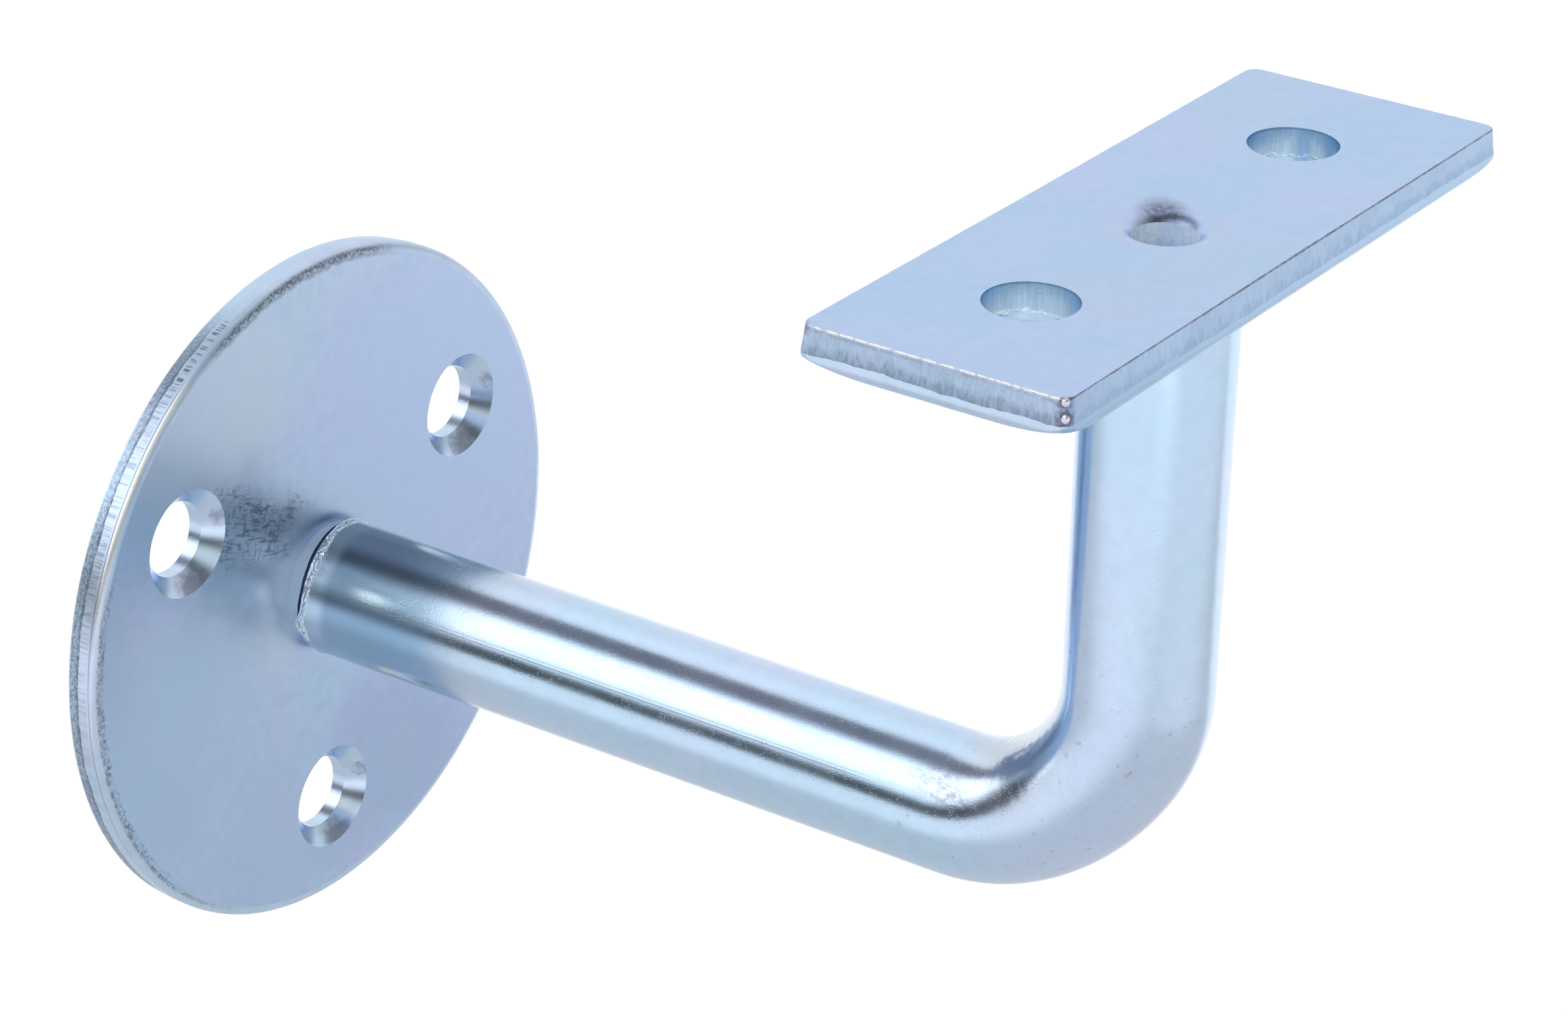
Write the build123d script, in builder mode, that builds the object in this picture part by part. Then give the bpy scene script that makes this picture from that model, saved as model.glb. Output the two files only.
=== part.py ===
from build123d import *
from math import atan2, cos, degrees, radians, sin
import os

# Handrail bracket: a round wall plate, one bent bar and a flat rail plate, resistance-welded together.
# The wall is the plane Y = 0 and the origin is the centre of the wall plate's back.
# The bar leaves the wall along -Y, turns up through a right angle, and the rail runs along X on top.

# Round bar
bar_diameter = 14.0
projection = 98.5            # wall to the centreline of the upright
rise = 60.0                  # centreline of the level run to the underside of the rail plate
bend_radius = 18.5           # to the centreline, about 1.3 bar diameters, so the bar is bent cold and tight
bend_flattening = 0.7        # how far the stretched back of the bend is drawn in at its middle
bend_swelling = 0.3          # how far the squeezed inside and the two sides of the bend stand out there
bend_steps = 8               # sections that the bend is lofted through
bar_end_chamfer = 1.2        # both ends are turned to a blunt cone, so that the weld starts in the middle

# Wall plate, a blanked disc whose rolled edge faces the room
wall_plate_diameter = 72.0
wall_plate_thickness = 3.2
wall_roll_radius = 1.3       # rolled edge left by the die, which is wide on the face and shallow on the rim
wall_roll_turn = 50.0        # degrees it turns through before the straight rim
wall_fracture_height = 1.2   # torn part of the rim, from the back
wall_fracture_lean = 0.15    # how much the torn part leans in

# Wall screws
screw_circle_diameter = 50.0
screw_count = 3
first_screw_angle = 28.9     # two screws above the bar, one below it; the disc was welded on a degree off
screw_hole_diameter = 7.8
countersink_diameter = 11.2
countersink_angle = 90.0

# Rail plate, blanked with its rolled edge downwards and its burr upwards
rail_plate_length = 76.0
rail_plate_width = 26.0
rail_plate_thickness = 4.0
rail_corner_radius = 1.2
rail_roll_width = 0.8        # rolled edge along the sides
rail_roll_height = 1.3       # where the roll ends and the straight burnished band starts
rail_corner_roll = 7.0       # corner radius of the underside, where the die drew the corners down
rail_roll_steps = 4          # bands that the roll is drawn in
side_roll_power = 3.0        # how fast the roll fades upwards along the sides
corner_roll_power = 1.5      # and at the corners
rail_burnish_height = 1.6    # underside to the line where the metal tore
rail_fracture_lean = 0.22    # how much the torn band leans in at the top

# Rail screws and the punched centre hole
rail_hole_spacing = 45.0
rail_hole_diameter = 8.4
rail_hole_roll = 0.45        # rolled lower edge: these two holes are punched from below
centre_hole_diameter = 6.0
centre_hole_x = -1.5         # it was punched a little off the middle of the plate
centre_hole_y = -0.7
centre_hole_burnish = 1.6    # smooth part of its wall, below the dish
centre_hole_lean = 0.15      # the torn lower part of its wall widens by this
dish_diameter = 11.0         # dished rim: this hole is punched from above
dish_depth = 0.85

# Weld flash, the thin collar pressed out between the bar's end and each plate
flash_foot_width = 0.5       # ring of it that sticks to the plate, round the end of the bar
flash_gap = 1.3              # crevice between the plate and its lip
flash_lip_width = 0.6
flash_height = 0.35          # how far the lip stands out beyond the surface of the bar
flash_width = 2.4            # plate to the end of the collar, along the bar

bar_radius = bar_diameter / 2
wall_face_y = -wall_plate_thickness
bend_centre_y = -(projection - bend_radius)
upright_y = -projection
bar_end_radius = bar_radius - bar_end_chamfer
flash_foot = bar_end_radius + flash_foot_width
flash_lip = bar_radius + flash_height


def bar_section(squash):
    """Outline of the bar: round at squash 0, flat-backed and swollen inside the bend at squash 1."""
    side = bar_radius + squash * bend_swelling
    inner = bar_radius + squash * bend_swelling
    outer = bar_radius - squash * bend_flattening
    with BuildSketch(mode=Mode.PRIVATE) as section:
        with BuildLine():
            EllipticalCenterArc((0, 0), side, inner, start_angle=0, arc_size=180)
            EllipticalCenterArc((0, 0), side, outer, start_angle=180, arc_size=180)
        make_face()
    return section.sketch


def bend_plane(angle):
    """Plane across the bar after it has turned by angle, with its local Y towards the inside of the bend."""
    turn = radians(angle)
    centre = (0, bend_centre_y - bend_radius * sin(turn), bend_radius * (1 - cos(turn)))
    return Plane(origin=centre, x_dir=(1, 0, 0), z_dir=(0, -cos(turn), sin(turn)))


# Wall plate: half a section turned about the axis of the bar
with BuildPart() as wall_plate:
    rim = wall_plate_diameter / 2
    roll_start = rim - wall_roll_radius * sin(radians(wall_roll_turn))
    roll_end_y = wall_face_y + wall_roll_radius * (1 - cos(radians(wall_roll_turn)))
    with BuildSketch(Plane.XY):
        with BuildLine():
            Polyline(
                (rim, roll_end_y),
                (rim, -wall_fracture_height),
                (rim - wall_fracture_lean, 0),
                (0, 0),
                (0, wall_face_y),
                (roll_start, wall_face_y),
            )
            CenterArc((roll_start, wall_face_y + wall_roll_radius), wall_roll_radius, 270, wall_roll_turn)
        make_face()
    revolve(axis=Axis.Y)
    with Locations(Plane(origin=(0, wall_face_y, 0), x_dir=(1, 0, 0), z_dir=(0, -1, 0))):
        with PolarLocations(screw_circle_diameter / 2, screw_count, start_angle=first_screw_angle):
            CounterSinkHole(
                radius=screw_hole_diameter / 2,
                counter_sink_radius=countersink_diameter / 2,
                depth=wall_plate_thickness,
                counter_sink_angle=countersink_angle,
            )

# Arm: level run, bend lofted through sections that flatten and swell towards its middle, and upright
with BuildPart() as arm:
    with BuildSketch(Plane(origin=(0, wall_face_y, 0), x_dir=(1, 0, 0), z_dir=(0, -1, 0))):
        Circle(bar_radius)
    extrude(amount=wall_face_y - bend_centre_y)
    with BuildSketch(bend_plane(90)):
        Circle(bar_radius)
    extrude(amount=rise - bend_radius)
    for step in range(bend_steps + 1):
        with BuildSketch(bend_plane(90 * step / bend_steps)):
            add(bar_section(sin(radians(180 * step / bend_steps)) ** 2))
    loft()
    chamfer(arm.faces().sort_by(Axis.Y)[-1].edges(), bar_end_chamfer)
    chamfer(arm.faces().sort_by(Axis.Z)[-1].edges(), bar_end_chamfer)

# Rail plate: rolled underside, straight burnished band, torn band leaning in up to the burr
with BuildPart() as rail_plate:
    for step in range(rail_roll_steps + 1):
        up = step / rail_roll_steps
        inset = rail_roll_width * (1 - up) ** side_roll_power
        corner = rail_corner_radius + (rail_corner_roll - rail_corner_radius) * (1 - up) ** corner_roll_power
        with BuildSketch(Plane((0, upright_y, rise + rail_roll_height * up))):
            RectangleRounded(rail_plate_length - 2 * inset, rail_plate_width - 2 * inset, corner)
    loft(ruled=True)
    with BuildSketch(Plane((0, upright_y, rise + rail_roll_height))):
        RectangleRounded(rail_plate_length, rail_plate_width, rail_corner_radius)
    extrude(amount=rail_burnish_height - rail_roll_height)
    torn_height = rail_plate_thickness - rail_burnish_height
    with BuildSketch(Plane((0, upright_y, rise + rail_burnish_height))):
        RectangleRounded(rail_plate_length, rail_plate_width, rail_corner_radius)
    extrude(amount=torn_height, taper=degrees(atan2(rail_fracture_lean, torn_height)))
    with BuildSketch(Plane((0, upright_y, rise))):
        with GridLocations(rail_hole_spacing, 0, 2, 1):
            Circle(rail_hole_diameter / 2)
    extrude(amount=rail_plate_thickness, mode=Mode.SUBTRACT)
    underside_edges = rail_plate.edges().filter_by_position(Axis.Z, rise, rise)
    chamfer([edge for edge in underside_edges if edge.is_closed], rail_hole_roll)
    centre = (centre_hole_x, upright_y + centre_hole_y, rise)
    with BuildSketch(Plane(origin=centre, x_dir=(1, 0, 0), z_dir=(0, -1, 0))):
        with BuildLine():
            hole = centre_hole_diameter / 2
            dish_floor = rail_plate_thickness - dish_depth
            Polyline(
                (hole, dish_floor),
                (hole, dish_floor - centre_hole_burnish),
                (hole + centre_hole_lean, 0),
                (0, 0),
                (0, rail_plate_thickness),
                (dish_diameter / 2, rail_plate_thickness),
            )
            TangentArc(
                (dish_diameter / 2, rail_plate_thickness),
                (hole, dish_floor),
                tangent=(-1, 0),
            )
        make_face()
    revolve(axis=Axis(centre, (0, 0, 1)), mode=Mode.SUBTRACT)

# Weld flash at the wall: it fills the cone of the bar's end and its lip stands off the plate
with BuildPart() as wall_weld:
    with BuildSketch(Plane.XY):
        with BuildLine():
            Polyline(
                (bar_end_radius, wall_face_y),
                (flash_foot, wall_face_y),
                (flash_lip, wall_face_y - flash_gap),
                (flash_lip, wall_face_y - flash_gap - flash_lip_width),
                (bar_radius, wall_face_y - flash_width),
                (bar_radius, wall_face_y - bar_end_chamfer),
                close=True,
            )
        make_face()
    revolve(axis=Axis.Y)

# Weld flash under the rail plate: the same collar, turned about the upright
with BuildPart() as rail_weld:
    with BuildSketch(Plane(origin=(0, upright_y, rise), x_dir=(1, 0, 0), z_dir=(0, -1, 0))):
        with BuildLine():
            Polyline(
                (bar_end_radius, 0),
                (flash_foot, 0),
                (flash_lip, -flash_gap),
                (flash_lip, -flash_gap - flash_lip_width),
                (bar_radius, -flash_width),
                (bar_radius, -bar_end_chamfer),
                close=True,
            )
        make_face()
    revolve(axis=Axis((0, upright_y, rise), (0, 0, 1)))

wall_plate.part.label = "wall_plate"
arm.part.label = "arm"
rail_plate.part.label = "rail_plate"
wall_weld.part.label = "wall_weld"
rail_weld.part.label = "rail_weld"

os.makedirs("parts", exist_ok=True)
export_step(wall_plate.part, "parts/wall_plate.step")
export_step(arm.part, "parts/arm.step")
export_step(rail_plate.part, "parts/rail_plate.step")
export_step(wall_weld.part, "parts/wall_weld.step")
export_step(rail_weld.part, "parts/rail_weld.step")
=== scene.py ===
from math import cos, degrees, hypot, pi, radians, sin

import bmesh
import bpy
import numpy as np
from mathutils import Matrix, Vector, noise
from mathutils.geometry import delaunay_2d_cdt


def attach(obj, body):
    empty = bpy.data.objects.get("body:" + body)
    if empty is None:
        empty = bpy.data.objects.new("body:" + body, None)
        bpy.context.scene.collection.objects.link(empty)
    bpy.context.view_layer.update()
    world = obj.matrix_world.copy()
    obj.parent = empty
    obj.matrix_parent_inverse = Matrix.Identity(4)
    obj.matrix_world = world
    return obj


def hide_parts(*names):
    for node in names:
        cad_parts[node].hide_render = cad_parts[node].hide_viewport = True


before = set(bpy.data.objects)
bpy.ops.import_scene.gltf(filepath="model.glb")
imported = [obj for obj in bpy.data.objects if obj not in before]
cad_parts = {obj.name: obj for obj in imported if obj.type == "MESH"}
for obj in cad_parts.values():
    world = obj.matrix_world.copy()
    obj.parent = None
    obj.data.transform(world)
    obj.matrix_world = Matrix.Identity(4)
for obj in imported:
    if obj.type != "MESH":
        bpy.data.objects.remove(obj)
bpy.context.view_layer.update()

# Wall plate: a disc blanked from 3.2 mm steel, its rolled die edge to the room and its torn edge to the wall,
# with three holes countersunk on a drill press. It is screwed flat to the wall and plated in bright zinc.

rim_radius = 35.99
plate_front = -3.2
roll_start = 35.0
roll_drop = 0.55
burnish_end = -1.3
screw_circle = 25.0
screw_angles = (28.9, 148.9, 268.9)
hole_radius = 3.9
cone_radius = 5.6
turns = 1080
hole_count = 120


def rough(x, y, z, size, seed=0.0):
    """Smooth noise from about -1 to 1 whose lumps are about size millimetres wide."""
    return noise.noise(Vector((x / size + seed, y / size - seed, z / size + 2.7 * seed)))


def rows(high, wide):
    """Quads that join rings of points, each ring closed on itself."""
    return [
        (i * wide + j, i * wide + (j + 1) % wide, (i + 1) * wide + (j + 1) % wide, (i + 1) * wide + j)
        for i in range(high - 1)
        for j in range(wide)
    ]


def circle(centre, radius, count=hole_count):
    """Points round a circle in the plane of a plate."""
    turn = [2 * pi * k / count for k in range(count)]
    return [(centre[0] + radius * cos(a), centre[1] + radius * sin(a)) for a in turn]


def flat_face(outline, holes, step, reach):
    """Triangles over an outline with round holes; reach(a, b, step) keeps loose points off its edge."""
    points, edges = [], []
    for loop in [outline] + [circle(c, r) for c, r in holes]:
        first = len(points)
        points += [Vector(p) for p in loop]
        edges += [(first + k, first + (k + 1) % len(loop)) for k in range(len(loop))]
    low, high = np.array(outline).min(0), np.array(outline).max(0)
    for i, a in enumerate(np.arange(low[0] + step / 2, high[0], step)):
        for b in np.arange(low[1] + step / 2 * (1 + i % 2), high[1], step):
            if reach(a, b, step) and all(hypot(a - c[0], b - c[1]) > r + 0.5 * step for c, r in holes):
                points.append(Vector((a, b)))
    found, _, triangles, _, _, _ = delaunay_2d_cdt(points, edges, [list(range(len(outline)))], 1, 1e-6)
    kept = []
    for t in triangles:
        middle = sum((found[k] for k in t), Vector((0, 0))) / len(t)
        if all(hypot(middle.x - c[0], middle.y - c[1]) > r * 0.999 for c, r in holes):
            kept.append(t)
    return [tuple(p) for p in found], kept


def solid(name, node, parts, materials, sharp=40.0):
    """One closed mesh from parts of (points in mm, faces, material number), merged where their edges meet."""
    points, faces, kinds = [], [], []
    for p, f, kind in parts:
        first = len(points)
        points += [(x * 0.001, y * 0.001, z * 0.001) for x, y, z in p]
        faces += [tuple(first + k for k in face) for face in f]
        kinds += [kind] * len(f)
    mesh = bpy.data.meshes.new(name)
    mesh.from_pydata(points, [], faces)
    for m in materials:
        mesh.materials.append(m)
    mesh.polygons.foreach_set("material_index", kinds)
    bm = bmesh.new()
    bm.from_mesh(mesh)
    bmesh.ops.remove_doubles(bm, verts=bm.verts, dist=1e-6)
    bmesh.ops.recalc_face_normals(bm, faces=bm.faces)
    for f in bm.faces:
        f.smooth = True
    for e in bm.edges:
        turn = e.calc_face_angle(0.0) if len(e.link_faces) == 2 else pi
        mixed = len({f.material_index for f in e.link_faces}) > 1
        e.smooth = not (turn > radians(sharp) or (mixed and turn > radians(1)))
    bm.to_mesh(mesh)
    bm.free()
    made = bpy.data.objects.new(name, mesh)
    bpy.context.scene.collection.objects.link(made)
    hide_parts(node)
    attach(made, "root")
    return made


class Coat:
    """Shader nodes of one plated surface; every size is in millimetres."""

    def __init__(self, name):
        self.material = bpy.data.materials.new(name)
        self.material.use_nodes = True
        self.nodes = self.material.node_tree.nodes
        self.shader = self.nodes["Principled BSDF"]
        self.shader.inputs["Metallic"].default_value = 1.0
        self.place = self.nodes.new("ShaderNodeTexCoord").outputs["Object"]

    def put(self, socket, value):
        if isinstance(value, bpy.types.NodeSocket):
            self.material.node_tree.links.new(value, socket)
        elif isinstance(value, tuple) and socket.type == "RGBA":
            socket.default_value = (*value, 1.0)
        else:
            socket.default_value = value

    def maths(self, operation, a, b=0.0):
        m = self.nodes.new("ShaderNodeMath")
        m.operation = operation
        self.put(m.inputs[0], a)
        self.put(m.inputs[1], b)
        return m.outputs[0]

    def cloud(self, size, detail, seed, stretch=(1.0, 1.0, 1.0), turn=(0.0, 0.0, 0.0)):
        """Noise with lumps about size wide, drawn out along the axes by stretch."""
        laid = self.nodes.new("ShaderNodeMapping")
        laid.vector_type = "TEXTURE"
        laid.inputs["Rotation"].default_value = turn
        laid.inputs["Scale"].default_value = tuple(size * 0.001 * k for k in stretch)
        self.put(laid.inputs["Vector"], self.place)
        t = self.nodes.new("ShaderNodeTexNoise")
        t.noise_dimensions = "4D"
        t.inputs["W"].default_value = seed
        t.inputs["Scale"].default_value = 1.0
        t.inputs["Detail"].default_value = detail
        self.put(t.inputs["Vector"], laid.outputs[0])
        return t.outputs["Fac"]

    def fade(self, value, low, high, start=0.0, end=1.0):
        r = self.nodes.new("ShaderNodeMapRange")
        r.interpolation_type = "SMOOTHSTEP"
        ends = (("Value", value), ("From Min", low), ("From Max", high), ("To Min", start), ("To Max", end))
        for key, v in ends:
            self.put(r.inputs[key], v)
        return r.outputs["Result"]

    def between(self, value, start, full, fading, gone):
        """One from full to fading, and nothing before start and after gone."""
        return self.times(self.fade(value, start, full), self.fade(value, fading, gone, 1.0, 0.0))

    def uneven(self, value, by, size, detail, seed):
        """A value that wanders up and down by as much as by."""
        return self.maths("ADD", value, self.fade(self.cloud(size, detail, seed), 0.3, 0.7, -by, by))

    def axis(self, number):
        """One coordinate of the surface point, in millimetres."""
        split = self.nodes.new("ShaderNodeSeparateXYZ")
        self.put(split.inputs[0], self.place)
        return self.maths("MULTIPLY", split.outputs[number], 1000.0)

    def dots(self, size, seed, share):
        """Round spots, one in each cell of about the given size; share is their reach from 0 to 0.5."""
        laid = self.nodes.new("ShaderNodeMapping")
        laid.vector_type = "TEXTURE"
        laid.inputs["Location"].default_value = (seed, 2 * seed, 3 * seed)
        laid.inputs["Scale"].default_value = (size * 0.001,) * 3
        self.put(laid.inputs["Vector"], self.place)
        cells = self.nodes.new("ShaderNodeTexVoronoi")
        cells.inputs["Scale"].default_value = 1.0
        self.put(cells.inputs["Vector"], laid.outputs[0])
        return self.fade(cells.outputs["Distance"], share * 0.3, share, 1.0, 0.0)

    def times(self, *values):
        out = values[0]
        for v in values[1:]:
            out = self.maths("MULTIPLY", out, v)
        return out

    def away(self, point, squash=(1.0, 1.0, 1.0), turn=(0.0, 0.0, 0.0)):
        """Distance from a point, in units of squash along each axis."""
        laid = self.nodes.new("ShaderNodeMapping")
        laid.vector_type = "TEXTURE"
        laid.inputs["Location"].default_value = tuple(v * 0.001 for v in point)
        laid.inputs["Rotation"].default_value = turn
        laid.inputs["Scale"].default_value = tuple(v * 0.001 for v in squash)
        self.put(laid.inputs["Vector"], self.place)
        far = self.nodes.new("ShaderNodeVectorMath")
        far.operation = "LENGTH"
        self.put(far.inputs[0], laid.outputs[0])
        return far.outputs["Value"]

    def blend(self, amount, a, b):
        x = self.nodes.new("ShaderNodeMix")
        x.data_type = "RGBA"
        for socket, v in ((x.inputs[0], amount), (x.inputs[6], a), (x.inputs[7], b)):
            self.put(socket, v)
        return x.outputs[2]

    def bump(self, height, strength, depth, under=None):
        u = self.nodes.new("ShaderNodeBump")
        u.inputs["Strength"].default_value = strength
        u.inputs["Distance"].default_value = depth * 0.001
        self.put(u.inputs["Height"], height)
        if under:
            self.put(u.inputs["Normal"], under)
        return u.outputs["Normal"]


def zinc(name, blue=(0.49, 0.67, 0.91), lilac=(0.53, 0.64, 0.92), warm=(0.54, 0.67, 0.84),
         dark=(0.20, 0.25, 0.32), roughness=0.2, grain=0.003, grain_size=0.16, ripple=0.006, specks=0.0,
         speck_size=0.34, dust=0.10, patch=11.0, stretch=(1.0, 1.0, 1.0), marks=None, metallic=1.0, matt=None):
    """Bright zinc passivated blue: soft patches of colour, a fine grain, faint dust and tiny bright dents."""
    c = Coat(name)
    c.shader.inputs["Metallic"].default_value = metallic
    colour = c.blend(c.fade(c.cloud(patch, 3.0, 1.0), 0.40, 0.60), blue, lilac)
    colour = c.blend(c.fade(c.cloud(patch * 1.6, 2.0, 7.0), 0.50, 0.70, 0.0, 0.7), colour, warm)
    colour = c.blend(c.fade(c.cloud(1.6, 4.0, 4.0, stretch), 0.35, 0.70, 0.0, dust), colour, dark)
    if marks:
        colour = marks(c, colour)
    c.put(c.shader.inputs["Base Color"], colour)
    rough_now = c.fade(c.cloud(patch * 0.35, 4.0, 5.0), 0.3, 0.7, roughness - 0.03, roughness + 0.03)
    if matt:
        rough_now = c.maths("ADD", rough_now, matt(c))
    c.put(c.shader.inputs["Roughness"], rough_now)
    surface = c.bump(c.cloud(2.4, 2.0, 9.0), 1.0, ripple)
    surface = c.bump(c.cloud(grain_size, 2.0, 11.0, stretch), 1.0, grain, surface)
    if specks:
        here = c.fade(c.cloud(1.1, 2.0, 15.0), 0.42, 0.58, 0.15, 1.0)
        surface = c.bump(c.times(c.dots(speck_size, 0.37, 0.42), here), 1.0, specks, surface)
    c.put(c.shader.inputs["Normal"], surface)
    return c.material


spin = [2 * pi * k / turns for k in range(turns)]
screws = [(screw_circle * cos(radians(a)), screw_circle * sin(radians(a))) for a in screw_angles]

# The rim runs from the flat front round the roll to a faint crease, and over the burnished and torn bands.
roll = [
    (roll_start + (rim_radius - 0.04 - roll_start) * sin(t), plate_front + roll_drop * (1 - cos(t)))
    for t in np.linspace(0, radians(84), 16)
]
crease = [
    (rim_radius - 0.03, plate_front + roll_drop),
    (rim_radius - 0.07, plate_front + roll_drop + 0.07),
    (rim_radius - 0.015, plate_front + roll_drop + 0.16),
]
straight = [(rim_radius, y) for y in np.linspace(plate_front + roll_drop + 0.26, burnish_end, 7)]
torn_depths = list(np.linspace(burnish_end, 0.0, 12))
smooth_rim, torn_rim, tears, scores, left_shares = [], [], [], [], []
for a in spin:
    x, z = rim_radius * cos(a), rim_radius * sin(a)
    tears.append(0.20 * rough(x, z, 0, 2.6) + 0.10 * rough(x, z, 0, 0.5, 3))
    scores.append(abs(0.010 * rough(x, z, 0, 0.30, 5)) + abs(0.008 * rough(x, z, 0, 0.12, 6)))
    left_shares.append(min(1.0, max(0.25, 0.5 - x / rim_radius)))
for r, y in roll + crease + straight:
    share = max(0.0, (y - plate_front - 0.8) / (burnish_end - plate_front - 0.8))
    for a, t, score in zip(spin, tears, scores):
        rr = r - score * min(1.0, 4 * share)
        smooth_rim.append((rr * cos(a), y + t * share, rr * sin(a)))
for k, y in enumerate(torn_depths):
    share = y / burnish_end
    for a, t, score, left_share in zip(spin, tears, scores, left_shares):
        x, z = rim_radius * cos(a), rim_radius * sin(a)
        speckle = 0.018 * rough(x, y, z, 0.35, 8) + 0.012 * rough(x, y, z, 0.16, 2)
        pull = score if k == 0 else 0.035 + 0.10 * (1 - share) + left_share * speckle
        rr = rim_radius - max(0.0, pull)
        torn_rim.append((rr * cos(a), y + t * share, rr * sin(a)))
rim_rows = len(roll + crease + straight)
parts = [(smooth_rim, rows(rim_rows, turns), 1), (torn_rim, rows(len(torn_depths), turns), 2)]


def inside_disc(a, b, step):
    return hypot(a, b) < roll_start - 0.6 * step


front_edge = [(roll_start * cos(a), roll_start * sin(a)) for a in spin]
flat, triangles = flat_face(front_edge, [(c, cone_radius) for c in screws], 1.6, inside_disc)
parts.append(([(x, plate_front, z) for x, z in flat], triangles, 0))
back_edge = [(p[0], p[2]) for p in torn_rim[-turns:]]
flat, triangles = flat_face(back_edge, [(c, hole_radius) for c in screws], 3.0, inside_disc)
parts.append(([(x, 0.0, z) for x, z in flat], triangles, 5))
cone_floor = plate_front + cone_radius - hole_radius
cone_profile = [
    (cone_radius + (hole_radius - cone_radius) * s, plate_front + (cone_floor - plate_front) * s)
    for s in np.linspace(0, 1, 5)
]
bore_profile = [(hole_radius, y) for y in np.linspace(cone_floor, 0.0, 5)]
for c in screws:
    for profile, kind in ((cone_profile, 3), (bore_profile, 4)):
        wall = [(x, y, z) for r, y in profile for x, z in circle(c, r)]
        parts.append((wall, rows(len(profile), hole_count), kind))


def round_disc(c):
    """Angle round the disc in degrees: 90 at the top, 180 on the left, 270 at the bottom."""
    x, z = c.maths("MULTIPLY", c.axis(0), -1.0), c.maths("MULTIPLY", c.axis(2), -1.0)
    return c.maths("ADD", c.maths("MULTIPLY", c.maths("ARCTAN2", z, x), 57.296), 180.0)


def over_top(c, turn):
    """The part of the edge, at the top, where a dark reflection is painted into the roll."""
    return c.between(turn, 68.0, 80.0, 112.0, 122.0)


def plate_marks(c, colour):
    """Passivation tints painted lighter and darker as light and shade, a frosted zone round the arm, dark rings
    at the edge painted as a dark reflection, painted shade towards the left edge and scuffs.
    """
    edge = c.away((0.0, plate_front, 0.0), (1.0, 1000.0, 1.0))
    turn = round_disc(c)
    drift = c.fade(c.cloud(9.0, 4.0, 51.0), 0.3, 0.7, -4.0, 4.0)
    # Lighter and darker patches of the passivation, painted to stand in for the light and shade over the face;
    # the small dark one by the arm's root is painted shade.
    tint_and_painted_light = (
        ((17.0, 10.0), 34.0, (0.50, 0.63, 0.90), 0.75),
        ((-17.0, 27.0), 19.0, (0.55, 0.67, 0.83), 0.80),
        ((-29.0, -8.0), 24.0, (0.44, 0.60, 0.83), 0.85),
        ((-12.0, -26.0), 20.0, (0.46, 0.59, 0.83), 0.60),
        ((14.0, -24.0), 20.0, (0.40, 0.50, 0.76), 0.55),
        ((-11.0, 9.5), 9.0, (0.31, 0.43, 0.63), 0.50),
    )
    for (x, z), reach, tint, amount in tint_and_painted_light:
        far = c.maths("ADD", c.away((x, plate_front, z)), drift)
        colour = c.blend(c.fade(far, reach * 0.2, reach, amount, 0.0), colour, tint)
    frosted = c.times(c.fade(edge, 12.6, 8.2), c.fade(turn, 105.0, 150.0, 0.2, 1.0))
    frosted = c.times(frosted, c.fade(turn, 205.0, 235.0, 1.0, 0.0))
    colour = c.blend(c.times(frosted, 0.85), colour, (0.60, 0.75, 0.93))
    c.put(c.shader.inputs["Metallic"], c.maths("SUBTRACT", 1.0, c.times(frosted, 0.6)))
    broken = c.fade(c.cloud(0.40, 5.0, 21.0), 0.40, 0.60)
    broken = c.times(broken, c.fade(c.cloud(2.6, 3.0, 26.0), 0.36, 0.56, 0.25, 1.0))
    wander = c.uneven(edge, 0.16, 1.2, 3.0, 27.0)
    # A broken dark ring painted at the face's edge, low on the left and over the top, as a dark reflection.
    lower = c.between(turn, 152.0, 164.0, 205.0, 232.0)
    colour = c.blend(c.times(c.fade(wander, 34.25, 34.65), lower, broken, 0.85), colour, (0.11, 0.15, 0.22))
    upper = c.times(c.fade(wander, 34.55, 34.95), over_top(c, turn), 0.55)
    colour = c.blend(upper, colour, (0.16, 0.20, 0.27))
    # Painted shade on the face towards its left edge.
    shade = c.times(c.fade(edge, 25.0, 34.5, 0.0, 0.30), c.between(turn, 125.0, 160.0, 172.0, 200.0))
    colour = c.blend(shade, colour, (0.29, 0.40, 0.55))
    scuffed = c.away((-12.2, plate_front, 11.2), (10.0, 8.0, 4.4), (0.0, 0.37, 0.0))
    scuffed = c.fade(c.uneven(scuffed, 0.3, 3.0, 3.0, 35.0), 0.35, 1.1, 1.0, 0.0)
    level = c.fade(c.cloud(0.42, 7.0, 33.0, (2.6, 1.0, 0.8), (0.0, 0.35, 0.0)), 0.47, 0.63, 0.0, 0.8)
    upright = c.fade(c.cloud(0.50, 7.0, 37.0, (0.8, 1.0, 2.4), (0.0, 0.25, 0.0)), 0.51, 0.65, 0.0, 0.8)
    for scratches in (level, upright):
        colour = c.blend(c.times(scuffed, scratches), colour, (0.15, 0.20, 0.33))
    return colour


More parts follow.
